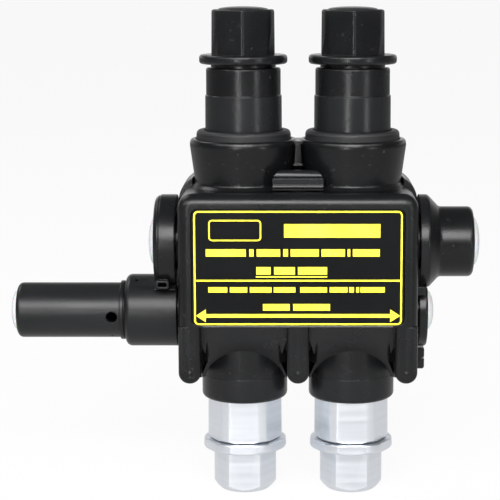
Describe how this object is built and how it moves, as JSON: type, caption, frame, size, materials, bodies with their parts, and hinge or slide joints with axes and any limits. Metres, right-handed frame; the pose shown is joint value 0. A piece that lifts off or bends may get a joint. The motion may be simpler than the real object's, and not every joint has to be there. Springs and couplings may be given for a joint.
{
  "type": "service connector",
  "caption": "Insulated tap connector: capped bolts press a main conductor onto a toothed plate, and bare bolts clamp a branch conductor below it.",
  "frame": {"origin": "where the main conductor's axis crosses the middle of the contact body", "axes": "+X along the conductors, +Z along the bolts towards the insulated heads, -Y out of the label"},
  "size_m": [0.1122, 0.034, 0.1165],
  "materials": {
    "black_moulding": "satin",
    "black_seal_rubber": "matt",
    "label_film": "satin with yellow print",
    "seal_membrane": "milky and smooth",
    "turned_aluminium": "turned and milled",
    "contact_aluminium": "extruded",
    "tinned_copper": "tinned",
    "zinc_steel": "zinc plated"
  },
  "bodies": {
    "connector_body": {"main_housing": "black_moulding", "rear_cover": "black_moulding", "label_plate": "label_film", "top_clip": "black_moulding", "contact_body": "contact_aluminium", "piercing_plate": "tinned_copper", "main_gland_left": "black_moulding", "main_gland_right": "black_moulding", "house_collar": "black_moulding", "house_sleeve": "black_moulding", "house_gland_right": "black_moulding", "main_seal_left": "seal_membrane", "main_seal_right": "seal_membrane", "house_seal_left": "seal_membrane", "house_seal_right": "seal_membrane", "main_seal_ring_left": "black_seal_rubber", "main_seal_ring_right": "black_seal_rubber", "main_bush_left": "zinc_steel", "main_bush_right": "zinc_steel", "house_bush_left": "zinc_steel", "house_bush_right": "zinc_steel"},
    "main_saddle_left": {"main_saddle_left": "contact_aluminium"},
    "main_bolt_left": {"main_bolt_cap_left": "black_moulding", "main_screw_left": "zinc_steel"},
    "main_saddle_right": {"main_saddle_right": "contact_aluminium"},
    "main_bolt_right": {"main_bolt_cap_right": "black_moulding", "main_screw_right": "zinc_steel"},
    "house_saddle_left": {"house_saddle_left": "contact_aluminium"},
    "house_bolt_left": {"house_bolt_left": "turned_aluminium"},
    "house_saddle_right": {"house_saddle_right": "contact_aluminium"},
    "house_bolt_right": {"house_bolt_right": "turned_aluminium"}
  },
  "joints": [
    {"name": "main_saddle_left_slide", "type": "slide", "parent": "connector_body", "child": "main_saddle_left", "axis": [0, 0, -1], "range_m": [0, 0.006]},
    {"name": "main_bolt_left_turn", "type": "hinge", "parent": "main_saddle_left", "child": "main_bolt_left", "pos_m": [-0.0129, 0, 0.03], "axis": [0, 0, -1], "range_deg": [0, 1440]},
    {"name": "main_saddle_right_slide", "type": "slide", "parent": "connector_body", "child": "main_saddle_right", "axis": [0, 0, -1], "range_m": [0, 0.006]},
    {"name": "main_bolt_right_turn", "type": "hinge", "parent": "main_saddle_right", "child": "main_bolt_right", "pos_m": [0.0129, 0, 0.03], "axis": [0, 0, -1], "range_deg": [0, 1440]},
    {"name": "house_saddle_left_slide", "type": "slide", "parent": "connector_body", "child": "house_saddle_left", "axis": [0, 0, 1], "range_m": [0, 0.006]},
    {"name": "house_bolt_left_turn", "type": "hinge", "parent": "house_saddle_left", "child": "house_bolt_left", "pos_m": [-0.0129, 0, -0.045], "axis": [0, 0, 1], "range_deg": [0, 1440]},
    {"name": "house_saddle_right_slide", "type": "slide", "parent": "connector_body", "child": "house_saddle_right", "axis": [0, 0, 1], "range_m": [0, 0.006]},
    {"name": "house_bolt_right_turn", "type": "hinge", "parent": "house_saddle_right", "child": "house_bolt_right", "pos_m": [0.0129, 0, -0.045], "axis": [0, 0, 1], "range_deg": [0, 1440]}
  ],
  "couplings": [
    {"joint": "main_bolt_left_turn", "follows": "main_saddle_left_slide", "rad_per_m": 4188.8},
    {"joint": "main_bolt_right_turn", "follows": "main_saddle_right_slide", "rad_per_m": 4188.8},
    {"joint": "house_bolt_left_turn", "follows": "house_saddle_left_slide", "rad_per_m": 4188.8},
    {"joint": "house_bolt_right_turn", "follows": "house_saddle_right_slide", "rad_per_m": 4188.8}
  ]
}
